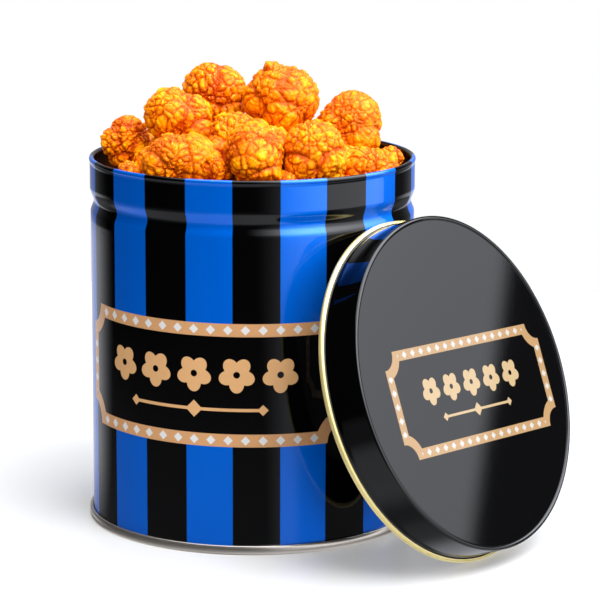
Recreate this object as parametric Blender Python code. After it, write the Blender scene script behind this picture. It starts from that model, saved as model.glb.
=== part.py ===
"""Round slip-lid tin heaped with coated mushroom popcorn, its own lid leaning on its side.

Lengths are in millimetres and are turned into metres as meshes are built. Heights start at the floor,
and places are measured from the tin's axis. The front of the tin faces -Y.
"""

import math
import random

import bmesh
import bpy
from mathutils import Matrix, Vector

MM = 0.001
SEGMENTS = 60
GAP = 0.3
SHEET = 0.5

# Tin wall
BODY_RADIUS = 84.0
TIN_HEIGHT = 190.5
COLLAR_RADIUS = 84.2
COLLAR_FOOT = 174.5
GROOVE_FOOT = 161.5
GROOVE_HEIGHT = 167.4
GROOVE_DEPTH = 1.7
GROOVE_STEPS = 4
RIM_CURL_RADIUS = 1.35
RIM_CURL_BULGE = 0.35
CURL_STEPS = 6

# Bottom end and its seam
SEAM_RADIUS = 86.1
SEAM_HEIGHT = 4.8
SEAM_ROUND = 0.6
SEAM_FLOOR = 1.0
SEAM_INNER_RADIUS = BODY_RADIUS - SHEET - 2 * GAP - SHEET
WALL_FOOT = SEAM_FLOOR + GAP
PANEL_HEIGHT = 3.5

# Lid, drawn with its axis along +Z and its open edge at 0
LID_RADIUS = 85.3
LID_DEPTH = 20.9
LID_CURL_RADIUS = 1.5
LID_FLARE = 4.2
LID_BEAD_WIDTH = 2.6
LID_RECESS = 0.8
LID_AZIMUTH = math.radians(51.9)
LID_LEAN = math.radians(20.9)

# Heap
HEAP_RADIUS = 81.2
HEAP_FOOT = PANEL_HEIGHT + SHEET + GAP
HEAP_SHOULDER = 166.0
HEAP_CROWN = 200.0
HEAP_STEPS = 5
BIG_FACETS = 3
SMALL_FACETS = 2

# Kernels in view: across, towards the back, height, then half of the width, depth and height
FRONT_KERNELS = (
    (-65.0, -2.0, 197.8, 12.9, 13.5, 13.0),
    (-38.2, -12.0, 212.0, 17.7, 16.0, 15.2),
    (-20.3, 16.0, 220.9, 15.9, 15.5, 15.2),
    (14.6, 0.0, 221.2, 20.0, 18.5, 18.2),
    (50.1, 2.0, 207.4, 17.3, 16.5, 15.8),
    (-36.8, -49.0, 196.3, 17.5, 16.0, 14.2),
    (0.9, -56.0, 199.7, 17.2, 16.0, 15.0),
    (30.5, -52.0, 201.2, 16.0, 15.0, 15.2),
    (-9.9, -29.0, 204.0, 14.0, 13.0, 13.0),
    (59.5, -27.0, 187.0, 15.0, 13.5, 12.6),
)
SMALL_KERNELS = (
    (71.5, -6.0, 189.5, 6.0, 6.5, 7.5),
    (-61.5, -34.0, 184.0, 9.8, 9.0, 8.2),
    (9.0, -20.0, 203.0, 12.5, 12.0, 11.5),
    (-18.0, -57.0, 192.5, 7.5, 8.0, 9.0),
    (16.6, -66.0, 187.0, 6.5, 6.5, 7.0),
    (40.0, -58.0, 187.0, 7.0, 7.0, 7.5),
    (44.0, -28.0, 195.0, 10.5, 10.5, 9.5),
    (-52.0, -30.0, 195.0, 10.0, 10.0, 9.5),
)

# Kernels between and behind: ring radius, height, half size, first angle from the front, step and how many
FILL_RINGS = (
    (22.0, 198.5, 14.5, 112.0, 120.0, 3),
    (42.0, 191.0, 15.0, 10.0, 40.0, 9),
    (63.5, 184.5, 14.5, 122.0, 21.0, 7),
    (62.0, 167.0, 13.5, 78.0, 25.0, 2),
    (64.0, 170.0, 12.5, 285.0, 25.0, 1),
)
FILL_VARIATION = 1.2
FILL_SEED = 11


def arc(centre_radius, centre_height, radius, start, end, steps):
    """Points on a circle in the radius and height plane, from one angle in degrees to another."""
    points = []
    for step in range(steps + 1):
        angle = math.radians(start + (end - start) * step / steps)
        points.append((centre_radius + radius * math.cos(angle), centre_height + radius * math.sin(angle)))
    return points


def material(name, colour, roughness, metallic):
    made = bpy.data.materials.new(name)
    made.use_nodes = True
    shader = made.node_tree.nodes["Principled BSDF"]
    shader.inputs["Base Color"].default_value = (*colour, 1.0)
    shader.inputs["Roughness"].default_value = roughness
    shader.inputs["Metallic"].default_value = metallic
    return made


def placed(mesh, name, finish, parent):
    mesh.materials.append(finish)
    mesh.shade_smooth()
    mesh.set_sharp_from_angle(angle=math.radians(35))
    piece = bpy.data.objects.new(name, mesh)
    bpy.context.scene.collection.objects.link(piece)
    piece.parent = parent
    return piece


def turned(name, outline):
    """Mesh turned about Z from a closed outline of (radius, height) points, listed anticlockwise."""
    shape = bmesh.new()
    rings = []
    for radius, height in outline:
        if radius == 0:
            rings.append([shape.verts.new((0, 0, height * MM))] * SEGMENTS)
            continue
        ring = []
        for index in range(SEGMENTS):
            angle = 2 * math.pi * index / SEGMENTS
            place = (radius * math.cos(angle), radius * math.sin(angle), height)
            ring.append(shape.verts.new(Vector(place) * MM))
        rings.append(ring)
    for lower, upper in zip(rings, rings[1:] + rings[:1]):
        for index in range(SEGMENTS):
            following = (index + 1) % SEGMENTS
            corners = (lower[index], lower[following], upper[following], upper[index])
            face = list(dict.fromkeys(corners))
            if len(face) > 2:
                shape.faces.new(face)
    mesh = bpy.data.meshes.new(name)
    shape.to_mesh(mesh)
    shape.free()
    return mesh


def groove(inset):
    """Points up the rolled groove, from the body to the collar, moved in by the inset."""
    points = []
    for low, high, foot, top in (
        (GROOVE_FOOT, GROOVE_HEIGHT, BODY_RADIUS, BODY_RADIUS - GROOVE_DEPTH),
        (GROOVE_HEIGHT, COLLAR_FOOT, BODY_RADIUS - GROOVE_DEPTH, COLLAR_RADIUS),
    ):
        for step in range(GROOVE_STEPS):
            share = step / GROOVE_STEPS
            eased = (1 - math.cos(math.pi * share)) / 2
            points.append((foot + (top - foot) * eased - inset, low + (high - low) * share))
    points.append((COLLAR_RADIUS - inset, COLLAR_FOOT))
    return points


def tin_body_mesh():
    curl_centre = COLLAR_RADIUS + RIM_CURL_BULGE - RIM_CURL_RADIUS
    curl_height = TIN_HEIGHT - RIM_CURL_RADIUS
    inner_radius = BODY_RADIUS - SHEET
    outline = [(inner_radius, WALL_FOOT), (BODY_RADIUS, WALL_FOOT)]
    outline += groove(0)
    outline += arc(curl_centre, curl_height, RIM_CURL_RADIUS, -40, 230, CURL_STEPS)
    outline += reversed(groove(SHEET))
    return turned("tin_body", outline)


def tin_bottom_mesh():
    slot_inner = BODY_RADIUS - SHEET - GAP
    slot_outer = BODY_RADIUS + GAP
    outline = [(0, PANEL_HEIGHT), (SEAM_INNER_RADIUS - SHEET, PANEL_HEIGHT)]
    outline += [(SEAM_INNER_RADIUS, SEAM_ROUND), (SEAM_INNER_RADIUS + SEAM_ROUND, 0)]
    outline += [(SEAM_RADIUS - SEAM_ROUND, 0), (SEAM_RADIUS, SEAM_ROUND)]
    outline += arc(SEAM_RADIUS - SEAM_ROUND, SEAM_HEIGHT - SEAM_ROUND, SEAM_ROUND, 0, 90, 3)
    outline += [(slot_outer, SEAM_HEIGHT), (slot_outer, SEAM_FLOOR), (slot_inner, SEAM_FLOOR)]
    outline += [(slot_inner, PANEL_HEIGHT + SHEET), (0, PANEL_HEIGHT + SHEET)]
    return turned("tin_bottom", outline)


def lid_mesh():
    inner = LID_RADIUS - SHEET
    curl_centre = inner + LID_CURL_RADIUS
    bead_centre = LID_RADIUS - LID_BEAD_WIDTH / 2
    bead_radius = LID_BEAD_WIDTH / 2
    bead_height = LID_DEPTH - bead_radius
    face_height = LID_DEPTH - LID_RECESS
    face_angle = math.degrees(math.asin((face_height - bead_height) / bead_radius))
    outline = arc(curl_centre, 0, LID_CURL_RADIUS, -180, 90, CURL_STEPS)
    outline += [(LID_RADIUS + SHEET / 2, (LID_FLARE + LID_CURL_RADIUS) / 2), (LID_RADIUS, LID_FLARE)]
    outline += arc(bead_centre, bead_height, bead_radius, 0, 180 - face_angle, CURL_STEPS)
    outline += [(0, face_height), (0, face_height - SHEET)]
    outline += arc(bead_centre, bead_height, bead_radius - SHEET, 180, 0, CURL_STEPS)[1:]
    return turned("lid", outline)


def lid_place():
    """Lid resting its curled edge on the floor and on the tin's wall."""
    out = Vector((math.sin(LID_AZIMUTH), -math.cos(LID_AZIMUTH), 0))
    along = Vector((math.cos(LID_AZIMUTH), math.sin(LID_AZIMUTH), 0))
    up = Vector((0, 0, 1))
    outward = out * math.cos(LID_LEAN) + up * math.sin(LID_LEAN)
    upward = outward.cross(along)
    ring_radius = LID_RADIUS - SHEET + LID_CURL_RADIUS
    reach = BODY_RADIUS + GAP + LID_CURL_RADIUS + ring_radius * math.sin(LID_LEAN)
    height = LID_CURL_RADIUS + ring_radius * math.cos(LID_LEAN)
    turn = Matrix((along, upward, outward)).transposed()
    return Matrix.Translation((out * reach + up * height) * MM) @ turn.to_4x4()


def core_mesh():
    """Packed popcorn up to a low dome under the kernels that show."""
    outline = [(0, HEAP_FOOT), (HEAP_RADIUS, HEAP_FOOT)]
    for step in range(HEAP_STEPS):
        angle = math.pi / 2 * step / HEAP_STEPS
        rise = (HEAP_CROWN - HEAP_SHOULDER) * math.sin(angle)
        outline.append((HEAP_RADIUS * math.cos(angle), HEAP_SHOULDER + rise))
    outline.append((0, HEAP_CROWN))
    return turned("popcorn_heap", outline)


def fill_kernels():
    """Rings of kernels that fill the heap out, each a little off its place and size."""
    draw = random.Random(FILL_SEED)
    for radius, height, half, first, step, count in FILL_RINGS:
        for index in range(count):
            angle = math.radians(first + step * index)
            shift = [draw.uniform(-FILL_VARIATION, FILL_VARIATION) for _ in range(6)]
            place = (radius * math.sin(angle), -radius * math.cos(angle), height)
            yield tuple(a + b for a, b in zip(place + (half, half, half), shift))


def kernel(number, row, facets, finish, parent, group):
    """One popped kernel as an egg-shaped ball, turned to its own angle about Z."""
    shape = bmesh.new()
    bmesh.ops.create_icosphere(shape, subdivisions=facets, radius=1.0)
    turn = Matrix.Rotation(number, 4, "Z")
    spread = Matrix.Diagonal((*(half * MM for half in row[3:]), 1))
    shape.transform(Matrix.Translation(Vector(row[:3]) * MM) @ spread @ turn)
    mesh = bpy.data.meshes.new(f"kernel_{number}")
    shape.to_mesh(mesh)
    shape.free()
    piece = placed(mesh, mesh.name, finish, parent)
    bpy.context.scene.collection.objects.unlink(piece)
    group.objects.link(piece)
    return piece


def keep_outer_skin(mesh):
    """Fills sealed hollows and drops loose scraps by keeping only the largest linked surface."""
    shape = bmesh.new()
    shape.from_mesh(mesh)
    unseen = set(shape.verts)
    islands = []
    while unseen:
        island = {unseen.pop()}
        front = set(island)
        while front:
            front = {edge.other_vert(vert) for vert in front for edge in vert.link_edges} - island
            island |= front
        unseen -= island
        islands.append(island)
    largest = max(islands, key=len)
    spare = [vert for vert in shape.verts if vert not in largest]
    bmesh.ops.delete(shape, geom=spare, context="VERTS")
    shape.to_mesh(mesh)
    shape.free()


def popcorn_heap(finish, parent):
    core = placed(core_mesh(), "popcorn_heap", finish, parent)
    group = bpy.data.collections.new("kernels")
    bpy.context.scene.collection.children.link(group)
    rows = [(row, BIG_FACETS) for row in FRONT_KERNELS]
    rows += [(row, SMALL_FACETS) for row in SMALL_KERNELS]
    rows += [(row, SMALL_FACETS) for row in fill_kernels()]
    for number, (row, facets) in enumerate(rows):
        kernel(number, row, facets, finish, parent, group)
    union = core.modifiers.new("kernels", "BOOLEAN")
    union.operation = "UNION"
    union.operand_type = "COLLECTION"
    union.collection = group
    bpy.context.view_layer.update()
    graph = bpy.context.evaluated_depsgraph_get()
    fused = bpy.data.meshes.new_from_object(core.evaluated_get(graph), depsgraph=graph)
    core.modifiers.remove(union)
    core.data = fused
    keep_outer_skin(fused)
    for piece in list(group.objects):
        bpy.data.objects.remove(piece)
    bpy.data.collections.remove(group)
    return core


def centre_on_floor(root):
    """Moves the whole part so that the origin is the middle of its footprint, on the floor."""
    bpy.context.view_layer.update()
    corners = [piece.matrix_world @ vert.co for piece in root.children for vert in piece.data.vertices]
    for axis in (0, 1):
        values = [corner[axis] for corner in corners]
        root.location[axis] = -(min(values) + max(values)) / 2


def build():
    for piece in list(bpy.data.objects):
        bpy.data.objects.remove(piece)
    root = bpy.data.objects.new("popcorn_tin", None)
    bpy.context.scene.collection.objects.link(root)
    blue = material("blue_lacquer", (0.005, 0.12, 0.55), 0.25, 0.0)
    black = material("black_lacquer", (0.008, 0.008, 0.009), 0.25, 0.0)
    tinplate = material("tinplate", (0.60, 0.56, 0.52), 0.3, 1.0)
    popcorn = material("coated_popcorn", (0.90, 0.28, 0.02), 0.5, 0.0)
    placed(tin_body_mesh(), "tin_body", blue, root)
    placed(tin_bottom_mesh(), "tin_bottom", tinplate, root)
    popcorn_heap(popcorn, root)
    lid = placed(lid_mesh(), "lid", black, root)
    lid.matrix_local = lid_place()
    centre_on_floor(root)


build()
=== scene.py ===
"""Looks of the popcorn tin: lacquered and printed tinplate, coated mushroom popcorn and a leaning lid.

Lengths here are in millimetres and are turned into metres as meshes are built, apart from those of the
floor and the lamps, which are in metres. Places are measured from the tin's axis at the floor, and the
front of the tin faces -Y.
"""

import math
import random

import bmesh
import bpy
import numpy as np
from mathutils import Matrix, Vector


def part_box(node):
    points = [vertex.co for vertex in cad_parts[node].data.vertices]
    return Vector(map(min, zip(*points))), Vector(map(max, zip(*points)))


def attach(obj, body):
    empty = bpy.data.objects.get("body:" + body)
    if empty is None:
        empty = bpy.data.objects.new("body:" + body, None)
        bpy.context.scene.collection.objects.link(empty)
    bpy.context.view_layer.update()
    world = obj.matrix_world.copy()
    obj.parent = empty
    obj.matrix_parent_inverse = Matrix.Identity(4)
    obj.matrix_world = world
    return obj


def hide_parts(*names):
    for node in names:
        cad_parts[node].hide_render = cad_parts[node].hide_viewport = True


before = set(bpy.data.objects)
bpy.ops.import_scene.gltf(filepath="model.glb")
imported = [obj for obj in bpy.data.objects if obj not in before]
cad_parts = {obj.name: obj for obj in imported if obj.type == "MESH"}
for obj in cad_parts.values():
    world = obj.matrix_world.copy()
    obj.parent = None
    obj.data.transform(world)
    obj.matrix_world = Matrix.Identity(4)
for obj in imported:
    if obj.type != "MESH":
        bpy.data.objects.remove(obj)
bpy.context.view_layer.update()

MM = 0.001
BODY = "root"
TIN_LOW, TIN_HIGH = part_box("tin_body")
AXIS = Vector(((TIN_LOW.x + TIN_HIGH.x) / 2, (TIN_LOW.y + TIN_HIGH.y) / 2, 0))

# Tin, as in the solids
SHEET = 0.5
BODY_RADIUS = 84.0
TIN_HEIGHT = 190.5
COLLAR_RADIUS = 84.2
COLLAR_FOOT = 174.5
GROOVE_FOOT = 161.5
GROOVE_HEIGHT = 167.4
GROOVE_DEPTH = 1.7
GROOVE_STEPS = 10
GROOVE_LEAD = 4
COLLAR_LEAD = 1.2
RIM_CURL_RADIUS = 1.35
RIM_CURL_BULGE = 0.35
RIM_CURL_START = -42
RIM_CURL_STOP = 230
RIM_FOOT = 3.6
RIM_FOOT_WITHIN = 4.2
SEAM_RADIUS = 86.1
SEAM_HEIGHT = 4.8
SEAM_ROUND = 0.6
SEAM_BULGE = 1.1
SEAM_INNER_RADIUS = 82.4
SEAM_FULLNESS = 0.7
SEAM_LIP = 0.25
SEAM_STEP = 12
SLOT_FOOT = 1.0
WALL_FOOT = 1.3
PANEL_HEIGHT = 3.5
GAP = 0.3

# Lid, with its axis along +Z and its open edge at 0
LID_RADIUS = 85.3
LID_DEPTH = 20.9
LID_CURL_RADIUS = 1.5
LID_FLARE = 4.2
LID_FLARE_OUT = 0.45
LID_FLARE_FOOT = 0.25
LID_FLARE_STEPS = 5
LID_BEAD_WIDTH = 2.6
LID_RECESS = 0.8
LID_FACE_LEADS = (0.25, 1.6)
LID_FACE_RINGS = (60.0, 30.0)
LID_AZIMUTH = math.radians(51.9)
LID_LEAN = math.radians(20.9)

# Print
STRIPES = 22
FIRST_STRIPE = math.radians(-55.94)
STRIPE_BLUR = 0.125
PLAQUE_ANGLE = math.radians(-20.4)
PLAQUE_HEIGHT = 87.1
LID_PLAQUE_TURN = math.radians(-2.9)
LID_PLAQUE_ACROSS = 3.6
LID_PLAQUE_UP = -5.0
# Half width, half height and scale of the details of the plaque on the body and of the one on the lid
BODY_PLAQUE = (80.0, 31.5, 1.0)
LID_PLAQUE = (66.0, 27.0, 0.78)
BLUE = (0.0, 0.176, 0.93)
BLUE_METAL = 0.6
BLACK = (0.0009, 0.0009, 0.001)
# Colours of the border, studs and motifs of the two plaques. The lid's are a darker copy of the body's:
# painted shade that evens out the stronger light on the lid's tilted face
BODY_INKS = ((0.56, 0.295, 0.133), (0.65, 0.645, 0.64), (0.615, 0.348, 0.155))
LID_INKS_WITH_PAINTED_SHADE = ((0.36, 0.222, 0.105), (0.47, 0.46, 0.44), (0.43, 0.31, 0.17))

# Depths under the lid's top at which its face's print starts and is full
LID_PRINT_EDGE = (2.0, 1.6)
# Scale and depth of the lacquer's orange peel
TIN_PEEL = (0.35, 0.008)
LID_PEEL = (1.4, 0.0019)
# Pairs of shades between which a colour wanders
GOLD = ((0.85, 0.69, 0.25), (0.95, 0.81, 0.38))
TINPLATE = ((0.63, 0.575, 0.51), (0.72, 0.655, 0.58))
LINING = ((0.006, 0.004, 0.003), (0.014, 0.009, 0.007))
FLOOR_WHITE = ((0.67, 0.67, 0.67), (0.69, 0.69, 0.69))

# Coating of the popcorn by relief, from the creases to the tops: its own orange, with painted shade making
# it darker and redder in the creases and painted light making it golden on the tops, and the caramel that
# warms some kernels
COATING_WITH_PAINTED_SHADE = (
    (0.14, (0.40, 0.030, 0.0003)),
    (0.33, (0.82, 0.165, 0.0006)),
    (0.54, (0.93, 0.325, 0.0012)),
    (0.81, (0.95, 0.425, 0.002)),
    (1.00, (0.96, 0.520, 0.012)),
)
CARAMEL = (0.90, 0.24, 0.003)
CARAMEL_SHARE = 0.22
# How far broad patches and fine specks shift the coating, the depth of its grain and its roughness by patch
PATCH_SHARE = 0.12
SPECK_SHARE = 0.6
GRAIN_DEPTH = 0.5
COATING_ROUGHNESS = (0.35, 0.7, 0.12, 0.2)

# Heap, close to the solids: kernels in view as centre and half size, then the rings that fill it out
CROWN_KERNELS = (
    (-65.0, -2.0, 197.8, 12.9, 13.5, 13.0),
    (-38.2, -12.0, 212.0, 17.7, 16.0, 15.2),
    (-20.3, 16.0, 220.9, 15.9, 15.5, 15.2),
    (14.6, 0.0, 221.2, 20.0, 18.5, 18.2),
    (50.1, 2.0, 207.4, 17.3, 16.5, 15.8),
)
FRONT_KERNELS = (
    (-36.8, -49.0, 196.3, 17.5, 16.0, 14.2),
    (0.9, -56.0, 199.7, 17.2, 16.0, 15.0),
    (30.5, -52.0, 201.2, 16.0, 15.0, 15.2),
    (-9.9, -29.0, 204.0, 14.0, 13.0, 13.0),
    (59.5, -27.0, 187.0, 15.0, 13.5, 12.6),
)
SMALL_KERNELS = (
    (71.5, -6.0, 189.5, 6.0, 6.5, 7.5),
    (-61.5, -34.0, 184.0, 9.8, 9.0, 8.2),
    (9.0, -20.0, 198.5, 12.5, 12.0, 11.5),
    (-18.0, -57.0, 192.5, 7.5, 8.0, 9.0),
    (16.6, -64.0, 185.5, 6.5, 6.5, 7.0),
    (40.0, -56.0, 185.5, 7.0, 7.0, 7.5),
    (44.0, -26.0, 191.5, 10.5, 10.5, 9.5),
    (-50.0, -28.0, 191.0, 10.0, 10.0, 9.5),
)
# Radius, height, half size, first angle, step of the angle and number of kernels of each ring
FILL_RINGS = (
    (22.0, 198.5, 14.5, 112.0, 120.0, 3),
    (42.0, 191.0, 15.0, 10.0, 40.0, 9),
    (63.5, 184.5, 14.5, 122.0, 21.0, 7),
    (62.0, 167.0, 13.5, 78.0, 25.0, 2),
    (64.0, 170.0, 12.5, 285.0, 25.0, 1),
)
FILL_VARIATION = 1.2
FILL_SEED = 11
# Packed popcorn below them, as centre and half size, and the highest place of the heap
CORE = (0.0, 0.0, 168.0, 79.0, 79.0, 26.0)
CEILING = 239.2

# Lobes of the kernels in view, from the kernel's centre: across, towards the back, up and radius
LOBES = {
    0: ((-3.6, -1.5, -0.4, 9.8), (4.0, -2.0, -2.4, 9.4), (0.5, 1.0, 2.0, 10.8), (-2.0, -2.5, -5.0, 8.4)),
    1: ((-3.2, -1.0, 1.0, 14.2), (5.5, 0.0, 0.5, 11.8), (9.5, -4.0, -6.0, 8.6)),
    2: ((-1.8, 0.5, 0.6, 14.2), (3.0, 0.5, 0.2, 13.6), (-3.0, -5.0, -7.5, 9.0), (7.0, -3.0, -8.5, 8.8)),
    3: ((2.4, 0.5, -1.3, 17.2), (-4.6, -1.0, 13.3, 4.9), (-9.2, -1.5, -1.6, 10.9), (1.0, -4.2, -6.4, 13.6)),
    4: ((1.6, 1.0, 0.6, 15.0), (-5.4, -2.0, -2.0, 12.0), (5.0, -4.0, -7.5, 11.0)),
    5: ((-2.6, 1.0, -1.6, 14.2), (5.2, 0.5, -1.2, 13.8), (12.0, -2.5, -6.5, 9.8), (-8.5, -2.0, -3.5, 10.0)),
    6: ((-0.6, 2.0, 0.4, 15.0), (0.6, -3.6, -2.6, 13.6), (3.0, -5.2, -8.6, 11.2)),
    7: ((0.2, 0.6, -0.6, 15.4), (-3.0, -3.4, -6.0, 11.6), (5.4, -3.0, -6.0, 11.8)),
    8: ((0.0, 0.0, 0.0, 12.8), (-5.0, -4.0, -3.0, 8.2)),
    9: ((-4.0, 1.0, -0.4, 12.2), (4.0, 0.0, -0.8, 11.8), (8.6, -1.5, -2.6, 8.8)),
}
# Kernels with broad plates in place of small knobs, and the number of plates
BROAD_PLATES = {3: 120, 6: 96, 9: 70}


def smooth_mesh(name, points, faces):
    mesh = bpy.data.meshes.new(name)
    mesh.from_pydata([tuple(point) for point in points], [], faces)
    mesh.validate()
    mesh.shade_smooth()
    return mesh


def piece_of(mesh, name, slot, *nodes):
    """The mesh as a piece at the tin's axis, standing for the solids of the nodes."""
    piece = bpy.data.objects.new(name, mesh)
    bpy.context.scene.collection.objects.link(piece)
    piece.location = AXIS
    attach(piece, BODY)
    if nodes:
        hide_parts(*nodes)
    return piece


class Nodes:
    """Short calls for a material's or world's node tree. A value is a number, a colour or a socket."""

    def __init__(self, tree):
        self.tree = tree

    def add(self, kind, **settings):
        node = self.tree.nodes.new(kind)
        for name, value in settings.items():
            setattr(node, name, value)
        return node

    def put(self, socket, value):
        if isinstance(value, bpy.types.NodeSocket):
            self.tree.links.new(value, socket)
        else:
            socket.default_value = value

    def math(self, operation, *values):
        node = self.add("ShaderNodeMath", operation=operation)
        for socket, value in zip(node.inputs, values):
            self.put(socket, value)
        return node.outputs[0]

    def step(self, value, low, high, bottom=0.0, top=1.0):
        """Smooth step of the value from bottom at low to top at high."""
        node = self.add("ShaderNodeMapRange", interpolation_type="SMOOTHSTEP")
        entries = {"Value": value, "From Min": low, "From Max": high, "To Min": bottom, "To Max": top}
        for name, entry in entries.items():
            self.put(node.inputs[name], entry)
        return node.outputs["Result"]

    def less(self, value, share):
        """The value with a share of it taken off."""
        return self.math("MULTIPLY", value, self.math("SUBTRACT", 1.0, share))

    def mix(self, share, first, second):
        """Colour between the first, at a share of 0, and the second, at 1."""
        node = self.add("ShaderNodeMix", data_type="RGBA")
        self.put(node.inputs["Factor"], share)
        self.put(node.inputs[6], first)
        self.put(node.inputs[7], second)
        return node.outputs[2]

    def noise(self, vector, scale, detail=2.0, roughness=0.5):
        node = self.add("ShaderNodeTexNoise")
        self.put(node.inputs["Vector"], vector)
        self.put(node.inputs["Scale"], scale)
        self.put(node.inputs["Detail"], detail)
        self.put(node.inputs["Roughness"], roughness)
        return node.outputs["Fac"]

    def bump(self, height, distance):
        node = self.add("ShaderNodeBump")
        self.put(node.inputs["Height"], height)
        self.put(node.inputs["Distance"], distance)
        return node.outputs["Normal"]

    def parts(self, vector):
        node = self.add("ShaderNodeSeparateXYZ")
        self.put(node.inputs[0], vector)
        return node.outputs


def new_material(name, **values):
    """Principled material, with the values that are the same all over on the shader's own sockets."""
    made = bpy.data.materials.new(name)
    made.use_nodes = True
    nodes = Nodes(made.node_tree)
    shader = made.node_tree.nodes["Principled BSDF"]
    for socket, value in values.items():
        shader.inputs[socket.replace("_", " ")].default_value = value
    return made, nodes, shader


def colour(rgb):
    return (*rgb, 1.0)


def mottle(nodes, shader, vector, scale, shades, detail=2.0):
    """Base colour that wanders between two shades."""
    tone = nodes.noise(vector, scale, detail)
    first, second = (colour(shade) for shade in shades)
    nodes.put(shader.inputs["Base Color"], nodes.mix(tone, first, second))


def peel(nodes, vector, scale, depth):
    """Normal of the lacquer's faint orange peel."""
    return nodes.bump(nodes.noise(vector, scale, detail=1.0), depth * MM)


def object_millimetres(nodes):
    place = nodes.add("ShaderNodeTexCoord").outputs["Object"]
    scaled = nodes.add("ShaderNodeVectorMath", operation="SCALE")
    nodes.put(scaled.inputs[0], place)
    scaled.inputs["Scale"].default_value = 1 / MM
    return scaled.outputs[0]


# Print: a plaque with scooped corners, a studded border, a row of blossoms and a rule

PLAQUE_CORNER = 11.0
PLAQUE_BORDER = 6.6
PLAQUE_EDGE = 0.12
STUD_PITCH = 8.8
STUD_REACH = 2.4
BLOSSOMS = 5
BLOSSOM_PITCH = 22.0
BLOSSOM_RADIUS = 9.3
BLOSSOM_ROW = 5.5
BLOSSOM_EYE = 1.7
PETALS = 5
PETAL_TURN = 0.8
PETAL_NOTCH = 0.32
RULE_ROW = -12.5
RULE_PITCHES = 1.6
RULE_WIDTH = 0.8
RULE_DIAMOND = 4.4
RULE_END = 2.8


def inside(nodes, distance):
    """1 where the signed distance is below 0, with an edge as sharp as print."""
    return nodes.step(distance, -PLAQUE_EDGE, PLAQUE_EDGE, 1.0, 0.0)


def reach_from(nodes, across, up, centre_across=0.0, centre_up=0.0):
    x = nodes.math("SUBTRACT", across, centre_across)
    y = nodes.math("SUBTRACT", up, centre_up)
    squares = nodes.math("ADD", nodes.math("MULTIPLY", x, x), nodes.math("MULTIPLY", y, y))
    return nodes.math("SQRT", squares)


def diamond(nodes, across, up, reach):
    spread = nodes.math("ADD", nodes.math("ABSOLUTE", across), nodes.math("ABSOLUTE", up))
    return nodes.math("SUBTRACT", spread, reach)


def repeated(nodes, value, pitch):
    """The value folded into one cell of the pitch, centred on 0."""
    shifted = nodes.math("ADD", value, pitch / 2)
    folded = nodes.math("FLOORED_MODULO", shifted, pitch)
    return nodes.math("SUBTRACT", folded, pitch / 2)


def plaque_distance(nodes, across, up, half_across, half_up, size):
    """Signed distance from a rectangle whose corners are scooped out by quarter circles."""
    x = nodes.math("ABSOLUTE", across)
    y = nodes.math("ABSOLUTE", up)
    sides = nodes.math("MAXIMUM", nodes.math("SUBTRACT", x, half_across), nodes.math("SUBTRACT", y, half_up))
    scoop = reach_from(nodes, x, y, half_across, half_up)
    return nodes.math("MAXIMUM", sides, nodes.math("SUBTRACT", PLAQUE_CORNER * size, scoop))


def stud_distance(nodes, across, up, half_across, half_up, size):
    """Small diamonds along the middle of the border's straight sides."""
    middle = PLAQUE_BORDER * size / 2
    pitch = STUD_PITCH * size
    clear = PLAQUE_CORNER * size + pitch / 2
    x = nodes.math("ABSOLUTE", across)
    y = nodes.math("ABSOLUTE", up)
    off_top = nodes.math("SUBTRACT", y, half_up - middle)
    off_side = nodes.math("SUBTRACT", x, half_across - middle)
    along_top = diamond(nodes, repeated(nodes, across, pitch), off_top, STUD_REACH * size)
    along_side = diamond(nodes, off_side, repeated(nodes, up, pitch), STUD_REACH * size)
    top = nodes.math("MAXIMUM", along_top, nodes.math("SUBTRACT", x, half_across - clear))
    side = nodes.math("MAXIMUM", along_side, nodes.math("SUBTRACT", y, half_up - clear))
    return nodes.math("MINIMUM", top, side)


def blossom_distance(nodes, across, up, size):
    """A row of whole blossoms, each a round of petals with a dark eye."""
    pitch = BLOSSOM_PITCH * size
    x = repeated(nodes, across, pitch)
    y = nodes.math("SUBTRACT", up, BLOSSOM_ROW * size)
    reach = reach_from(nodes, x, y)
    turn = nodes.math("MULTIPLY", nodes.math("ARCTAN2", y, x), PETALS / 2)
    petal = nodes.math("ABSOLUTE", nodes.math("COSINE", nodes.math("ADD", turn, PETAL_TURN)))
    edge = nodes.math("ADD", nodes.math("MULTIPLY", petal, PETAL_NOTCH), 1 - PETAL_NOTCH)
    shape = nodes.math("SUBTRACT", reach, nodes.math("MULTIPLY", edge, BLOSSOM_RADIUS * size))
    shape = nodes.math("MAXIMUM", shape, nodes.math("SUBTRACT", BLOSSOM_EYE * size, reach))
    ends = nodes.math("SUBTRACT", nodes.math("ABSOLUTE", across), BLOSSOMS * pitch / 2)
    return nodes.math("MAXIMUM", shape, ends)


def rule_distance(nodes, across, up, size):
    """A thin rule under the blossoms, with a diamond in its middle and a small one at each end."""
    half = RULE_PITCHES * BLOSSOM_PITCH * size
    x = nodes.math("ABSOLUTE", across)
    y = nodes.math("SUBTRACT", up, RULE_ROW * size)
    line = nodes.math("SUBTRACT", nodes.math("ABSOLUTE", y), RULE_WIDTH * size)
    line = nodes.math("MAXIMUM", line, nodes.math("SUBTRACT", x, half))
    middle = diamond(nodes, across, y, RULE_DIAMOND * size)
    ends = diamond(nodes, nodes.math("SUBTRACT", x, half), y, RULE_END * size)
    return nodes.math("MINIMUM", line, nodes.math("MINIMUM", middle, ends))


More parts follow.
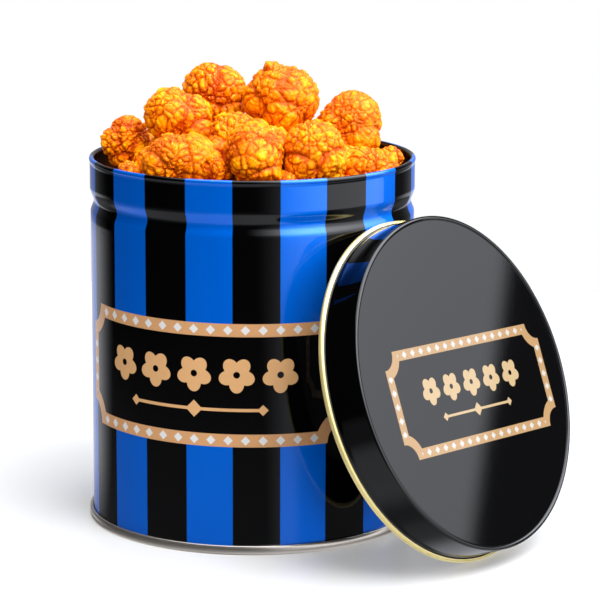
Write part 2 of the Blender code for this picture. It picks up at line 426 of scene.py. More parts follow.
def plaque_paint(nodes, under, across, up, half_across, half_up, size, inks):
    """The plaque's colours laid over the colour under it."""
    border_ink, stud_ink, motif_ink = (colour(ink) for ink in inks)
    edge = plaque_distance(nodes, across, up, half_across, half_up, size)
    field = nodes.math("ADD", edge, PLAQUE_BORDER * size)
    painted = nodes.mix(inside(nodes, edge), under, border_ink)
    studs = stud_distance(nodes, across, up, half_across, half_up, size)
    painted = nodes.mix(inside(nodes, studs), painted, stud_ink)
    painted = nodes.mix(inside(nodes, field), painted, colour(BLACK))
    blossoms = blossom_distance(nodes, across, up, size)
    rule = rule_distance(nodes, across, up, size)
    return nodes.mix(inside(nodes, nodes.math("MINIMUM", blossoms, rule)), painted, motif_ink)


def stripe_share(nodes, angle):
    """1 on the blue stripes and 0 on the black ones."""
    turn = nodes.math("MULTIPLY", nodes.math("SUBTRACT", angle, FIRST_STRIPE), STRIPES / 2)
    wave = nodes.math("SINE", turn)
    edge = STRIPES / BODY_RADIUS * STRIPE_BLUR
    return nodes.step(wave, -edge, edge)


def tin_print():
    """Gloss lacquer over tinplate: stripes all round and a plaque on the front."""
    made, nodes, shader = new_material(
        "tin_print", Roughness=0.42, Specular_IOR_Level=0.0, Coat_Weight=1.0, Coat_Roughness=0.035
    )
    place = object_millimetres(nodes)
    x, y, z = nodes.parts(place)
    angle = nodes.math("ARCTAN2", x, nodes.math("MULTIPLY", y, -1.0))
    stripe = stripe_share(nodes, angle)
    base = nodes.mix(stripe, colour(BLACK), colour(BLUE))
    across = nodes.math("MULTIPLY", nodes.math("SUBTRACT", angle, PLAQUE_ANGLE), BODY_RADIUS)
    up = nodes.math("SUBTRACT", z, PLAQUE_HEIGHT)
    painted = plaque_paint(nodes, base, across, up, *BODY_PLAQUE, BODY_INKS)
    nodes.put(shader.inputs["Base Color"], painted)
    covered = inside(nodes, plaque_distance(nodes, across, up, *BODY_PLAQUE))
    bare = nodes.less(stripe, covered)
    nodes.put(shader.inputs["Metallic"], nodes.math("MULTIPLY", bare, BLUE_METAL))
    nodes.put(shader.inputs["Coat Normal"], peel(nodes, place, *TIN_PEEL))
    return made


def lid_print():
    """Gloss black lacquer with a faint orange peel, and the plaque on the face."""
    made, nodes, shader = new_material(
        "lid_print", Roughness=0.5, Specular_IOR_Level=0.0, Coat_Weight=1.0, Coat_Roughness=0.02
    )
    place = nodes.add("ShaderNodeAttribute", attribute_name="own_place").outputs["Vector"]
    x, y, z = nodes.parts(place)
    cosine = math.cos(LID_PLAQUE_TURN)
    sine = math.sin(LID_PLAQUE_TURN)
    x = nodes.math("SUBTRACT", x, LID_PLAQUE_ACROSS)
    y = nodes.math("SUBTRACT", y, LID_PLAQUE_UP)
    across = nodes.math("ADD", nodes.math("MULTIPLY", x, cosine), nodes.math("MULTIPLY", y, sine))
    up = nodes.math("SUBTRACT", nodes.math("MULTIPLY", y, cosine), nodes.math("MULTIPLY", x, sine))
    # The lid's plaque takes the darker inks, painted shade on the face
    painted = plaque_paint(nodes, colour(BLACK), across, up, *LID_PLAQUE, LID_INKS_WITH_PAINTED_SHADE)
    start, full = LID_PRINT_EDGE
    on_face = nodes.step(z, LID_DEPTH - start, LID_DEPTH - full)
    nodes.put(shader.inputs["Base Color"], nodes.mix(on_face, colour(BLACK), painted))
    nodes.put(shader.inputs["Coat Normal"], peel(nodes, place, *LID_PEEL))
    return made


def gold_edge():
    """Gold lacquer on the lid's curled edge."""
    made, nodes, shader = new_material("gold_edge", Metallic=0.6, Roughness=0.32)
    mottle(nodes, shader, object_millimetres(nodes), 0.4, GOLD)
    return made


def bare_tinplate():
    """Tinplate with a faint grain round the seam."""
    made, nodes, shader = new_material("bare_tinplate", Metallic=0.9, Roughness=0.3)
    stretched = nodes.add("ShaderNodeVectorMath", operation="MULTIPLY")
    nodes.put(stretched.inputs[0], object_millimetres(nodes))
    stretched.inputs[1].default_value = (0.3, 0.3, 4.0)
    mottle(nodes, shader, stretched.outputs[0], 0.3, TINPLATE, detail=1.0)
    return made


def dark_lining():
    """Near-black, slightly warm gloss inside the tin."""
    made, nodes, shader = new_material("dark_lining", Roughness=0.22, Specular_IOR_Level=0.6)
    mottle(nodes, shader, object_millimetres(nodes), 0.08, LINING)
    return made


# Turned sheet metal

TURNS = 264
CURL_STEPS = 20
CURL_STEPS_WITHIN = 10
SHARP_ANGLE = math.radians(50)


def arc(centre_radius, centre_height, radius, start, end, steps):
    """Points on a circle in the radius and height plane, from one angle in degrees to another."""
    angles = np.radians(np.linspace(start, end, steps + 1))
    return [(centre_radius + radius * math.cos(a), centre_height + radius * math.sin(a)) for a in angles]


def turned(name, outline, zones, materials):
    """Closed outline of (radius, height) turned about Z. zones gives each outline edge's material number."""
    points = []
    starts = []
    for radius, height in outline:
        starts.append(len(points))
        if radius == 0:
            points.append((0.0, 0.0, height * MM))
            continue
        for index in range(TURNS):
            angle = 2 * math.pi * index / TURNS
            points.append((radius * math.cos(angle) * MM, radius * math.sin(angle) * MM, height * MM))
    faces = []
    marks = []
    count = len(outline)
    for ring in range(count):
        after = (ring + 1) % count
        if outline[ring][0] == 0 and outline[after][0] == 0:
            continue
        for index in range(TURNS):
            following = (index + 1) % TURNS
            lower = [starts[ring]]
            upper = [starts[after]]
            if outline[ring][0] != 0:
                lower = [starts[ring] + index, starts[ring] + following]
            if outline[after][0] != 0:
                upper = [starts[after] + following, starts[after] + index]
            faces.append(lower + upper)
            marks.append(zones[ring])
    mesh = smooth_mesh(name, points, faces)
    mesh.polygons.foreach_set("material_index", marks)
    for made in materials:
        mesh.materials.append(made)
    mesh.set_sharp_from_angle(angle=SHARP_ANGLE)
    return mesh


def eased(share):
    """A share from 0 to 1, slow at both ends."""
    return (1 - math.cos(math.pi * share)) / 2


def groove(inset):
    """Points up the rolled groove, from the body to the collar, moved in by the inset."""
    points = []
    for low, high, foot, top in (
        (GROOVE_FOOT, GROOVE_HEIGHT, BODY_RADIUS, BODY_RADIUS - GROOVE_DEPTH),
        (GROOVE_HEIGHT, COLLAR_FOOT, BODY_RADIUS - GROOVE_DEPTH, COLLAR_RADIUS),
    ):
        for step in range(GROOVE_STEPS):
            share = step / GROOVE_STEPS
            points.append((foot + (top - foot) * eased(share) - inset, low + (high - low) * share))
    points.append((COLLAR_RADIUS - inset, COLLAR_FOOT))
    return points


def tin_wall(print_finish, lining):
    """Wall with its groove, collar and rolled rim."""
    curl_centre = COLLAR_RADIUS + RIM_CURL_BULGE - RIM_CURL_RADIUS
    curl_height = TIN_HEIGHT - RIM_CURL_RADIUS
    outside = [(BODY_RADIUS, height) for height in (WALL_FOOT, SEAM_HEIGHT, GROOVE_FOOT - GROOVE_LEAD)]
    outside += groove(0)
    outside += [(COLLAR_RADIUS, COLLAR_FOOT + COLLAR_LEAD), (COLLAR_RADIUS, TIN_HEIGHT - RIM_FOOT)]
    curl = arc(curl_centre, curl_height, RIM_CURL_RADIUS, RIM_CURL_START, RIM_CURL_STOP, CURL_STEPS)
    within = [(COLLAR_RADIUS - SHEET, TIN_HEIGHT - RIM_FOOT_WITHIN)] + list(reversed(groove(SHEET)))
    within += [(BODY_RADIUS - SHEET, WALL_FOOT)]
    outline = outside + curl + within
    printed = len(outside) + len(curl) - CURL_STEPS_WITHIN
    zones = [0] * printed + [1] * (len(outline) - printed)
    mesh = turned("tin_wall", outline, zones, (print_finish, lining))
    return piece_of(mesh, "tin_wall", "tin_body", "tin_body")


def tin_base(tinplate):
    """Bottom plate, with the seam rolled round the foot of the wall."""
    slot_inner = BODY_RADIUS - SHEET - GAP
    slot_outer = BODY_RADIUS + GAP
    outline = [(0, PANEL_HEIGHT), (SEAM_INNER_RADIUS - SHEET, PANEL_HEIGHT)]
    outline += [(SEAM_INNER_RADIUS, SEAM_ROUND)]
    outline += arc(SEAM_INNER_RADIUS + SEAM_ROUND, SEAM_ROUND, SEAM_ROUND, 180, 270, 5)[1:]
    for degrees in range(-90, 91, SEAM_STEP):
        bulge = math.cos(math.radians(degrees)) ** SEAM_FULLNESS
        height = SEAM_HEIGHT / 2 * (1 + math.sin(math.radians(degrees)))
        outline.append((SEAM_RADIUS - SEAM_BULGE + SEAM_BULGE * bulge, height))
    outline += [(slot_outer, SEAM_HEIGHT - SEAM_LIP), (slot_outer, SLOT_FOOT), (slot_inner, SLOT_FOOT)]
    outline += [(slot_inner, PANEL_HEIGHT + SHEET), (0, PANEL_HEIGHT + SHEET)]
    mesh = turned("tin_base", outline, [0] * len(outline), (tinplate,))
    return piece_of(mesh, "tin_base", "tin_bottom", "tin_bottom")


def lid_place():
    """Lid resting its curled edge on the floor and on the tin's wall."""
    out = Vector((math.sin(LID_AZIMUTH), -math.cos(LID_AZIMUTH), 0))
    along = Vector((math.cos(LID_AZIMUTH), math.sin(LID_AZIMUTH), 0))
    up = Vector((0, 0, 1))
    outward = out * math.cos(LID_LEAN) + up * math.sin(LID_LEAN)
    upward = outward.cross(along)
    ring_radius = LID_RADIUS - SHEET + LID_CURL_RADIUS
    reach = BODY_RADIUS + GAP + LID_CURL_RADIUS + ring_radius * math.sin(LID_LEAN)
    height = LID_CURL_RADIUS + ring_radius * math.cos(LID_LEAN)
    turn = Matrix((along, upward, outward)).transposed()
    return Matrix.Translation((out * reach + up * height) * MM) @ turn.to_4x4()


def leaning_lid(black, gold):
    """Slip lid: a curled edge, a flared foot, a beaded corner and a face set in, all hollow behind."""
    inner = LID_RADIUS - SHEET
    curl_centre = inner + LID_CURL_RADIUS
    bead_radius = LID_BEAD_WIDTH / 2
    bead_centre = LID_RADIUS - bead_radius
    bead_height = LID_DEPTH - bead_radius
    face_height = LID_DEPTH - LID_RECESS
    face_angle = math.degrees(math.asin((face_height - bead_height) / bead_radius))
    curl = arc(curl_centre, 0, LID_CURL_RADIUS, -180, 90, 22)
    flare = []
    for step in range(LID_FLARE_STEPS + 1):
        share = step / LID_FLARE_STEPS
        radius = LID_RADIUS + LID_FLARE_OUT - LID_FLARE_OUT * eased(share)
        rise = (LID_FLARE - LID_CURL_RADIUS) * share
        flare.append((radius, LID_CURL_RADIUS + LID_FLARE_FOOT + rise))
    bead = arc(bead_centre, bead_height, bead_radius, 0, 180 - face_angle, 20)
    step_in = bead[-1][0]
    face = [(step_in - lead, face_height) for lead in LID_FACE_LEADS]
    face += [(radius, face_height) for radius in (*LID_FACE_RINGS, 0)]
    face.append((0, face_height - SHEET))
    under = arc(bead_centre, bead_height, bead_radius - SHEET, 180, 0, 14)[1:]
    outline = curl + flare + bead + face + under
    zones = [1] * (len(curl) - 1) + [0] * (len(outline) - len(curl) + 1)
    mesh = turned("leaning_lid", outline, zones, (black, gold))
    own = mesh.attributes.new("own_place", "FLOAT_VECTOR", "POINT")
    for value, vert in zip(own.data, mesh.vertices):
        value.vector = vert.co / MM
    mesh.transform(lid_place())
    return piece_of(mesh, "leaning_lid", "lid", "lid")


# Popcorn

# Size of a usual kernel, and the number of its lobes, knobs and lumps as so many and a few more
USUAL_SIZE = 17.0
LOBES_OVER = (18, 6)
KNOBS_OVER = (150, 12)
LUMPS_OVER = (520, 30)
# Depth of the folds between lobes, and of the creases between them, between knobs and between lumps
FOLD_DEPTH = 1.1
LOBE_DEPTH = 0.7
KNOB_DEPTH = 1.75
LUMP_DEPTH = 0.95
SWELL = 1.6
# Scale and reach of the noise that bends lobes and knobs, and of the finer one that bends lumps
WARP = (4.5, 0.085)
FINE_WARP = (15.0, 0.022)
# Round top of each form: how far it reaches, how much of it is flat and how much it tilts
TOP_REACH = 0.95
TOP_FLAT = 0.62
TOP_TILT = 0.28
TOP_LEAST = 0.2
TOP_MOST = 1.3
# Least and most reach of a kernel as shares of its egg shape, and the width of a fold
EGG_LEAST = 0.88
EGG_MOST = 1.2
FOLD_WIDTH = 0.9
# Lobes of a kernel that has none of its own: number, reach of their centres and least and most radius
USUAL_LOBES = 5
USUAL_LOBE_REACH = 0.36
USUAL_LOBE_RADIUS = (0.62, 0.72)
# Calm of the surface, which lowers knobs and lumps: middle, spread, scale and least
CALM = (0.82, 0.32, 3.2, 0.4)
# Relief is shallower on kernels smaller than the full size, down to the least depth
FULL_SIZE = 15
LEAST_DEPTH = 0.45
# Shares of the forms in the relief that paints shade and light on the coating: lower in the creases and
# folds for painted shade, higher on the tops for painted light
LOBE_SHARE = 0.12
KNOB_SHARE = 0.42
LUMP_SHARE = 0.34
FOLD_SHARE = 0.3
# Relief left on kernels that are cut off at the highest place
CEILING_RELIEF = 0.3
# Waves in a ripple, and how far forms stray from even places
WAVES = 6
STRAY = 0.62
# Squares along the sides of each kernel's six grids
CELLS_IN_VIEW = 56
CELLS_SMALL = 34
CELLS_BACK = 27
KERNEL_SEED = 700
CORE_SEED = 5
CORE_LUMPS = 900
CORE_RELIEF = 3.0
CORE_MIDDLE = 0.6
CORE_SHADE = 0.55
CORE_TINT = 0.9
CORE_CELLS = 70


def cube_sphere(cells):
    """Unit sphere as six grids of cells by cells squares, each split into two triangles."""
    line = np.tan(np.linspace(-math.pi / 4, math.pi / 4, cells + 1))
    a, b = np.meshgrid(line, line, indexing="ij")
    ones = np.ones_like(a)
    sides = ((ones, a, b), (-ones, b, a), (b, ones, a), (a, -ones, b), (a, b, ones), (b, a, -ones))
    points = np.concatenate([np.stack([p.ravel() for p in side], 1) for side in sides])
    row = np.arange(cells)
    corner = (row[:, None] * (cells + 1) + row[None, :]).ravel()
    square = np.stack([corner, corner + cells + 1, corner + cells + 2, corner + 1], 1)
    squares = np.concatenate([square + side * (cells + 1) ** 2 for side in range(6)])
    points /= np.linalg.norm(points, axis=1, keepdims=True)
    keys = np.round(points * 1e6).astype(np.int64)
    _, first, index = np.unique(keys, axis=0, return_index=True, return_inverse=True)
    squares = index.reshape(-1)[squares]
    triangles = np.concatenate([squares[:, [0, 1, 2]], squares[:, [0, 2, 3]]])
    return points[first], triangles


def scattered(count, draw):
    """About evenly spread unit vectors, each moved a little off its place."""
    index = np.arange(count) + 0.5
    height = 1 - 2 * index / count
    angle = math.pi * (1 + math.sqrt(5)) * index
    ring = np.sqrt(1 - height**2)
    spread = np.stack([ring * np.cos(angle), ring * np.sin(angle), height], 1)
    spread += draw.normal(0, STRAY / math.sqrt(count), spread.shape)
    turn, _ = np.linalg.qr(draw.normal(0, 1, (3, 3)))
    spread = spread @ turn
    return spread / np.linalg.norm(spread, axis=1, keepdims=True)


def ripple(points, scale, draw):
    """Smooth noise between about -1 and 1, as a sum of waves in random directions."""
    total = np.zeros(len(points))
    for _ in range(WAVES):
        direction = draw.normal(0, 1, 3)
        direction *= scale / np.linalg.norm(direction)
        total += np.sin(points @ direction + draw.uniform(0, 2 * math.pi))
    return total / math.sqrt(WAVES)


def domes(directions, count, draw, variety, crease, lowest=0.55):
    """Height from 0 in the creases to 1 on top of each of about count round lumps that cover a sphere."""
    centres = scattered(count, draw)
    weight = draw.uniform(-variety, variety, count) * 2.0 / count
    score = directions @ centres.T + weight
    best = np.argmax(score, axis=1)
    rows = np.arange(len(directions))
    top = score[rows, best]
    score[rows, best] = -np.inf
    second = np.argmax(score, axis=1)
    gap = top - score[rows, second]
    apart = np.linalg.norm(centres[best] - centres[second], axis=1) + 1e-6
    size = math.sqrt(4 * math.pi / count)
    edge = gap / apart / size
    reach = np.sqrt(np.maximum(0.0, 2 - 2 * np.sum(directions * centres[best], axis=1))) / size
    bowl = np.sqrt(np.clip(1 - (reach / TOP_REACH) ** 2, 0.0, 1.0))
    tilt = draw.normal(0, TOP_TILT, centres.shape)[best]
    slope = np.sum((directions - centres[best]) * tilt, axis=1) / size
    top_height = np.clip(TOP_FLAT + (1 - TOP_FLAT) * bowl + slope, TOP_LEAST, TOP_MOST)
    height = top_height * (1 - np.exp(-edge / crease))
    lift = draw.uniform(lowest, 1.0, count)[best]
    return height * lift


def base_reach(directions, half, lobes):
    """Distance from the centre to the surface of a kernel built of round lobes, or of one egg shape."""
    egg = 1 / np.sqrt(np.sum((directions / np.array(half)) ** 2, axis=1))
    hits = [egg * EGG_LEAST]
    for *centre, radius in lobes:
        middle = np.array(centre)
        along = directions @ middle
        inside_root = radius**2 - middle @ middle + along**2
        hits.append(np.where(inside_root > 0, along + np.sqrt(np.maximum(inside_root, 0)), 0))
    hits = np.sort(np.minimum(np.stack(hits, 1), (egg * EGG_MOST)[:, None]), axis=1)
    fold = np.exp(-(hits[:, -1] - hits[:, -2]) / FOLD_WIDTH)
    return hits[:, -1], fold


def bent(vectors, directions, warp, draw):
    """Unit vectors near the vectors, moved by smooth noise over the directions."""
    scale, reach = warp
    noise = np.stack([ripple(directions, scale, draw) for _ in range(3)], 1)
    moved = vectors + reach * noise
    return moved / np.linalg.norm(moved, axis=1, keepdims=True)


def number_over(area, usual):
    """How many forms cover a kernel of this area, where a usual kernel has an area of 1."""
    share, more = usual
    return int(share * area) + more


def kernel_shape(row, number, cells, lobes):
    """Points, in millimetres from the tin's axis, triangles, relief and tint of one kernel."""
    draw = np.random.default_rng(KERNEL_SEED + number)
    directions, triangles = cube_sphere(cells)
    half = np.array(row[3:])
    size = half.mean()
    if not lobes:
        lobes = []
        for index in range(USUAL_LOBES):
            centre = scattered(USUAL_LOBES, draw)[index] * size * USUAL_LOBE_REACH
            lobes.append((*centre, size * draw.uniform(*USUAL_LOBE_RADIUS)))
    reach, fold = base_reach(directions, half, lobes)
    warped = bent(directions, directions, WARP, draw)
    finer = bent(warped, directions, FINE_WARP, draw)
    area = (size / USUAL_SIZE) ** 2
    knobs = BROAD_PLATES.get(number, number_over(area, KNOBS_OVER))
    lobe = domes(warped, number_over(area, LOBES_OVER), draw, variety=0.6, crease=0.16)
    knob = domes(warped, knobs, draw, variety=1.0, crease=0.12)
    lump = domes(finer, number_over(area, LUMPS_OVER), draw, variety=1.2, crease=0.16, lowest=0.4)
    middle, spread, calm_scale, least = CALM
    calm = np.clip(middle + spread * ripple(directions, calm_scale, draw), least, 1.0)
    scale = min(1.0, LEAST_DEPTH + (1 - LEAST_DEPTH) * size / FULL_SIZE)
    drop = FOLD_DEPTH * fold + LOBE_DEPTH * (1 - lobe)
    drop += KNOB_DEPTH * calm * (1 - knob) + LUMP_DEPTH * calm * (1 - lump)
    reach = reach + scale * (SWELL - drop)
    points = directions * reach[:, None] + np.array(row[:3])
    points[:, 2] = np.minimum(points[:, 2], CEILING - CEILING_RELIEF * (1 - lump))
    # Relief that paints shade into the creases and folds and light onto the tops of the coating
    relief = LOBE_SHARE * lobe + KNOB_SHARE * knob + LUMP_SHARE * lump - FOLD_SHARE * fold
    relief = np.clip(relief, 0, 1)
    tint = np.full(len(points), draw.uniform(0, 1))
    return points, triangles, relief, tint


def fill_kernels():
    """Rings of kernels that fill the heap out, each a little off its place and size."""
    draw = random.Random(FILL_SEED)
    for radius, height, half, first, step, count in FILL_RINGS:
        for index in range(count):
            angle = math.radians(first + step * index)
            shift = [draw.uniform(-FILL_VARIATION, FILL_VARIATION) for _ in range(6)]
            place = (radius * math.sin(angle), -radius * math.cos(angle), height)
            yield tuple(a + b for a, b in zip(place + (half, half, half), shift))


def keep_values(mesh, **layers):
    """Values at the points, which the colours read."""
    for name, values in layers.items():
        layer = mesh.attributes.new(name, "FLOAT", "POINT")
        layer.data.foreach_set("value", values.astype(np.float32))


def popcorn_piece(name, rows, first_number, cells, finish, *nodes):
    """Several kernels joined into one mesh."""
    points = []
    triangles = []
    reliefs = []
    tints = []
    start = 0
    for offset, row in enumerate(rows):
        number = first_number + offset
        shape, faces, relief, tint = kernel_shape(row, number, cells, LOBES.get(number))
        points.append(shape * MM)
        triangles.append(faces + start)
        reliefs.append(relief)
        tints.append(tint)
        start += len(shape)
    points = np.concatenate(points)
    triangles = np.concatenate(triangles)
    mesh = bpy.data.meshes.new(name)
    mesh.vertices.add(len(points))
    mesh.vertices.foreach_set("co", points.astype(np.float32).ravel())
    mesh.loops.add(len(triangles) * 3)
    mesh.loops.foreach_set("vertex_index", triangles.astype(np.int32).ravel())
    mesh.polygons.add(len(triangles))
    mesh.polygons.foreach_set("loop_start", np.arange(0, len(triangles) * 3, 3, dtype=np.int32))
    mesh.update(calc_edges=True)
    mesh.shade_smooth()
    keep_values(mesh, relief=np.concatenate(reliefs), tint=np.concatenate(tints))
    mesh.materials.append(finish)
    return piece_of(mesh, name, "popcorn_heap", *nodes)


def coated_popcorn():
    """Glossy cheese coating, with painted light making it golden on the lumps and painted shade making it
    deep orange in the creases.
    """
    made, nodes, shader = new_material(
        "coated_popcorn",
        Specular_IOR_Level=0.34,
        Specular_Tint=(1.0, 0.83, 0.3, 1.0),
        Subsurface_Weight=0.12,
        Subsurface_Radius=(1.6, 0.4, 0.08),
        Subsurface_Scale=0.8 * MM,
    )
    place = object_millimetres(nodes)
    relief = nodes.add("ShaderNodeAttribute", attribute_name="relief").outputs["Fac"]
    tint = nodes.add("ShaderNodeAttribute", attribute_name="tint").outputs["Fac"]
    patch = nodes.noise(place, 0.16, detail=3.0, roughness=0.6)
    speck = nodes.noise(place, 1.5, detail=3.0, roughness=0.6)
    level = relief
    for spots, share in ((patch, PATCH_SHARE), (speck, SPECK_SHARE)):
        centred = nodes.math("SUBTRACT", spots, 0.5)
        level = nodes.math("ADD", level, nodes.math("MULTIPLY", centred, share))
    # Ramp of the coating's colour by relief, with painted shade in the creases and painted light on the tops
    ramp = nodes.add("ShaderNodeValToRGB")
    elements = ramp.color_ramp.elements
    while len(elements) < len(COATING_WITH_PAINTED_SHADE):
        elements.new(0.5)
    for element, (position, rgb) in zip(elements, COATING_WITH_PAINTED_SHADE):
        element.position = position
        element.color = colour(rgb)
    nodes.put(ramp.inputs[0], level)
    warm = nodes.mix(nodes.math("MULTIPLY", tint, CARAMEL_SHARE), ramp.outputs[0], colour(CARAMEL))
    nodes.put(shader.inputs["Base Color"], warm)
    grain = nodes.noise(place, 1.1, detail=4.0, roughness=0.7)
    nodes.put(shader.inputs["Normal"], nodes.bump(grain, GRAIN_DEPTH * MM))
    nodes.put(shader.inputs["Roughness"], nodes.step(patch, *COATING_ROUGHNESS))
    return made


def popcorn_core(finish):
    """Packed popcorn below the kernels that show: a dome of smaller lumps."""
    draw = np.random.default_rng(CORE_SEED)
    directions, triangles = cube_sphere(CORE_CELLS)
    egg = 1 / np.sqrt(np.sum((directions / np.array(CORE[3:])) ** 2, axis=1))
    lump = domes(directions, CORE_LUMPS, draw, variety=0.4, crease=0.15)
    points = directions * egg[:, None]
    points[:, 2] += CORE_RELIEF * (lump - CORE_MIDDLE)
    points += np.array(CORE[:3])
    faces = [tuple(int(corner) for corner in face) for face in triangles]
    mesh = smooth_mesh("popcorn_core", points * MM, faces)
    # The core's relief is scaled down by CORE_SHADE: painted shade that darkens the packed popcorn below
    keep_values(mesh, relief=lump * CORE_SHADE, tint=np.full(len(points), CORE_TINT))
    mesh.materials.append(finish)
    return piece_of(mesh, "popcorn_core", "popcorn_heap")


# Stage

# Camera: its place, the turn of its view to the right, down and round, and its focal length in pixels
EYE = Vector((0.0, -1499.9, 426.6))
EYE_YAW = math.radians(0.95)
EYE_DOWN = math.radians(11.795)
EYE_ROLL = math.radians(0.175)
FOCAL_PIXELS = 2926.2
FRAME_PIXELS = 600
FILM_WIDTH = 36.0
FARTHEST = 50


def camera():
    """Camera at the photograph's place, looking at the tin and its lid."""
    forward = Vector(
        (math.sin(EYE_YAW) * math.cos(EYE_DOWN), math.cos(EYE_YAW) * math.cos(EYE_DOWN), -math.sin(EYE_DOWN))
    )
    level = Vector((math.cos(EYE_YAW), -math.sin(EYE_YAW), 0))
    upright = level.cross(forward)
    right = level * math.cos(EYE_ROLL) + upright * math.sin(EYE_ROLL)
    top = upright * math.cos(EYE_ROLL) - level * math.sin(EYE_ROLL)
    lens = bpy.data.cameras.new("camera")
    lens.sensor_width = FILM_WIDTH
    lens.lens = FILM_WIDTH * FOCAL_PIXELS / FRAME_PIXELS
    lens.clip_end = FARTHEST
    eye = bpy.data.objects.new("camera", lens)
    bpy.context.scene.collection.objects.link(eye)
    turn = Matrix((right, top, -forward)).transposed().to_4x4()
    eye.matrix_world = Matrix.Translation(AXIS + EYE * MM) @ turn
    bpy.context.scene.camera = eye


# Level of the studio's panels, the even light that matt surfaces get, and their share of the panels' light
PANEL_LEVEL = 0.8
DOME = 0.38
DOME_SHARE = 0.26

# Smooth steps of the studio's light: start and stop in degrees, and the levels there, or 0 and 1.
# Azimuth runs from the front to the right, and height is the angle above level.
# By height: from the low to the high part of the right panel, and its front edge in each
PANEL_HIGH = (5.0, 32.0)
FRONT_START = (0.0, -6.0)
FRONT_STOP = (62.0, 50.0)
# By height: the panel's levels
PANEL_GAIN_LOW = (-12.0, 10.0, 1.8, 2.7)
PANEL_GAIN_HIGH = (12.0, 36.0, 0.0, 4.6)
# By azimuth: the panel's fade towards its far edge, that edge, and how it slants back with height
FAR_FADE = (98.0, 105.6, 1.0, 0.74)
FAR_EDGE = (105.2, 105.7, 1.0, 0.0)
FAR_SLANT = 0.88
FAR_SLANT_FROM = 8.0
# By azimuth and by height: the dim corner under the lid, and how dim it is
UNDER_LID_SIDE = (20.0, 38.0)
UNDER_LID_BELOW = (-12.5, -15.5)
UNDER_LID_DIM = 0.92
# By azimuth to both sides, and by height: light from behind
SIDES_LOW = (115.0, 144.0, 0.0, 1.0)
SIDES_HIGH = (119.0, 180.0, 0.0, 0.5)
SIDES_SPLIT = (-10.7, -9.7)
SIDES_END = (-16.4, -14.4, 0.2, 1.0)
# By height: light from the floor near the tin and right under it, then by azimuth its dim left side
FLOOR_NEAR = (-36.0, -22.0, 1.0, 0.0)
FLOOR_UNDER = (-72.0, -56.0, 0.3, 1.0)
LEFT_START = (-135.0, -100.0)
LEFT_STOP = (-50.0, 30.0, 1.0, 0.0)
LEFT_DIM = 0.35
# By height: the panel overhead, and the sheen low down. By azimuth: the faint light past the far edge
OVERHEAD = (52.0, 66.0, 0.0, 3.4)
SHEEN = (-11.0, -17.0, 0.0, 0.13)
PAST_EDGE = (100.0, 106.0, 0.0, 0.055)
# Colour of the light in gloss
GLOSS_LIGHT = (0.98, 1.0, 1.07, 1)


def right_panel(nodes, azimuth, height):
    """Tall soft panel from the front round to the right, with a far edge that slants back."""
    front_start = nodes.step(height, *PANEL_HIGH, *FRONT_START)
    front_stop = nodes.step(height, *PANEL_HIGH, *FRONT_STOP)
    front = nodes.step(azimuth, front_start, front_stop)
    raised = nodes.math("MAXIMUM", nodes.math("SUBTRACT", height, FAR_SLANT_FROM), 0.0)
    past = nodes.math("SUBTRACT", azimuth, nodes.math("MULTIPLY", raised, FAR_SLANT))
    far = nodes.math("MULTIPLY", nodes.step(past, *FAR_EDGE), nodes.step(past, *FAR_FADE))
    level = nodes.math("ADD", nodes.step(height, *PANEL_GAIN_LOW), nodes.step(height, *PANEL_GAIN_HIGH))
    panel = nodes.math("MULTIPLY", nodes.math("MULTIPLY", front, far), level)
    aside = nodes.step(azimuth, *UNDER_LID_SIDE)
    corner = nodes.math("MULTIPLY", aside, nodes.step(height, *UNDER_LID_BELOW))
    return nodes.less(panel, nodes.math("MULTIPLY", corner, UNDER_LID_DIM))


def back_sides(nodes, azimuth, height):
    """Soft light from behind on both sides, brighter near the floor and cut off below it."""
    aside = nodes.math("ABSOLUTE", azimuth)
    above = nodes.step(height, *SIDES_SPLIT)
    high_sides = nodes.math("MULTIPLY", nodes.step(aside, *SIDES_HIGH), above)
    low_sides = nodes.less(nodes.step(aside, *SIDES_LOW), above)
    sides = nodes.math("ADD", high_sides, low_sides)
    return nodes.math("MULTIPLY", sides, nodes.step(height, *SIDES_END))


def floor_light(nodes, azimuth, height):
    """Light that comes up from the white floor, weaker on the left."""
    below = nodes.math("MULTIPLY", nodes.step(height, *FLOOR_NEAR), nodes.step(height, *FLOOR_UNDER))
    left = nodes.math("MULTIPLY", nodes.step(azimuth, *LEFT_START), nodes.step(azimuth, *LEFT_STOP))
    return nodes.less(below, nodes.math("MULTIPLY", left, LEFT_DIM))


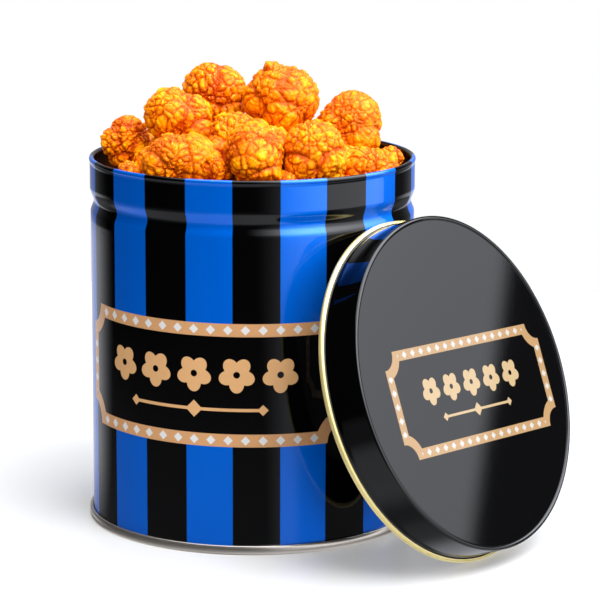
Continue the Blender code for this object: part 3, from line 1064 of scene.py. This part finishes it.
def studio():
    """White room with soft panels, which gloss mirrors, and an even light for matt surfaces."""
    world = bpy.data.worlds.new("studio")
    bpy.context.scene.world = world
    world.use_nodes = True
    tree = world.node_tree
    nodes = Nodes(tree)
    tree.nodes.clear()
    x, y, z = nodes.parts(nodes.add("ShaderNodeTexCoord").outputs["Generated"])
    turn = nodes.math("ARCTAN2", x, nodes.math("MULTIPLY", y, -1.0))
    azimuth = nodes.math("MULTIPLY", turn, 180 / math.pi)
    height = nodes.math("MULTIPLY", nodes.math("ARCSINE", z), 180 / math.pi)
    light = nodes.step(height, *OVERHEAD)
    for other in (
        right_panel(nodes, azimuth, height),
        back_sides(nodes, azimuth, height),
        floor_light(nodes, azimuth, height),
        nodes.step(height, *SHEEN),
        nodes.step(azimuth, *PAST_EDGE),
    ):
        light = nodes.math("MAXIMUM", light, other)
    light = nodes.math("MULTIPLY", light, PANEL_LEVEL)
    path = nodes.add("ShaderNodeLightPath")
    dome = nodes.math("ADD", nodes.math("MULTIPLY", light, DOME_SHARE), DOME)
    matt = nodes.math("MULTIPLY", path.outputs["Is Diffuse Ray"], nodes.math("SUBTRACT", dome, light))
    gloss = nodes.math("ADD", light, matt)
    beyond = nodes.math("MULTIPLY", path.outputs["Is Camera Ray"], nodes.math("SUBTRACT", 1.0, gloss))
    backdrop = nodes.add("ShaderNodeBackground")
    even = nodes.math("MAXIMUM", path.outputs["Is Diffuse Ray"], path.outputs["Is Camera Ray"])
    nodes.put(backdrop.inputs["Color"], nodes.mix(even, GLOSS_LIGHT, (1, 1, 1, 1)))
    nodes.put(backdrop.inputs["Strength"], nodes.math("ADD", gloss, beyond))
    output = nodes.add("ShaderNodeOutputWorld")
    nodes.put(output.inputs["Surface"], backdrop.outputs[0])


FLOOR_RADIUS = 0.62
FLOOR_GLOW = 0.24


def floor():
    """Round white floor that glows a little, so that it fades into the white room."""
    mesh = bpy.data.meshes.new("floor")
    shape = bmesh.new()
    bmesh.ops.create_circle(shape, cap_ends=True, segments=96, radius=FLOOR_RADIUS)
    shape.to_mesh(mesh)
    shape.free()
    made, nodes, shader = new_material(
        "floor_white",
        Roughness=0.3,
        Specular_IOR_Level=0.2,
        Emission_Color=(1, 1, 1, 1),
        Emission_Strength=FLOOR_GLOW,
    )
    mottle(nodes, shader, object_millimetres(nodes), 0.002, FLOOR_WHITE)
    mesh.materials.append(made)
    plane = bpy.data.objects.new("floor", mesh)
    bpy.context.scene.collection.objects.link(plane)
    plane.location = AXIS
    plane.visible_glossy = False


LAMP_AIM = Vector((0, 0, 0.17))


def lamp(name, place, size, power, lit=(), in_gloss=False):
    """Round lamp aimed at the heap, for all pieces or the lit ones alone.

    It lights matt surfaces and isn't mirrored in gloss, or the other way round for one in gloss.
    """
    light = bpy.data.lights.new(name, "AREA")
    light.shape = "DISK"
    light.size = size
    light.energy = power
    stand = bpy.data.objects.new(name, light)
    bpy.context.scene.collection.objects.link(stand)
    stand.location = AXIS + Vector(place)
    aim = AXIS + LAMP_AIM - stand.location
    stand.rotation_euler = aim.to_track_quat("-Z", "Y").to_euler()
    stand.visible_glossy = in_gloss
    stand.visible_diffuse = not in_gloss
    if lit:
        group = bpy.data.collections.new(name)
        for piece in lit:
            group.objects.link(piece)
        stand.light_linking.receiver_collection = group


def build():
    black = lid_print()
    tin_wall(tin_print(), dark_lining())
    tin_base(bare_tinplate())
    leaning_lid(black, gold_edge())
    coat = coated_popcorn()
    popcorn = [popcorn_core(coat)]
    first_number = 0
    for name, rows, cells in (
        ("popcorn_crown", CROWN_KERNELS, CELLS_IN_VIEW),
        ("popcorn_front", FRONT_KERNELS, CELLS_IN_VIEW),
        ("popcorn_small", SMALL_KERNELS, CELLS_SMALL),
        ("popcorn_back", list(fill_kernels()), CELLS_BACK),
    ):
        popcorn.append(popcorn_piece(name, rows, first_number, cells, coat, "popcorn_heap"))
        first_number += len(rows)
    camera()
    studio()
    floor()
    lamp("key", (0.95, -1.7, 2.95), size=2.0, power=88.0)
    lamp("fill", (-0.7, -1.5, 1.0), size=1.0, power=9.0, lit=popcorn)
    lamp("side", (0.9, -0.9, 1.3), size=0.8, power=22.0, lit=popcorn)
    lamp("rear", (-1.1, 1.3, 1.2), size=1.2, power=18.0, lit=popcorn)
    lamp("sparkle", (0.80, -0.58, 1.42), size=0.4, power=40.0, lit=popcorn, in_gloss=True)
    bpy.context.scene.view_settings.view_transform = "Standard"


build()
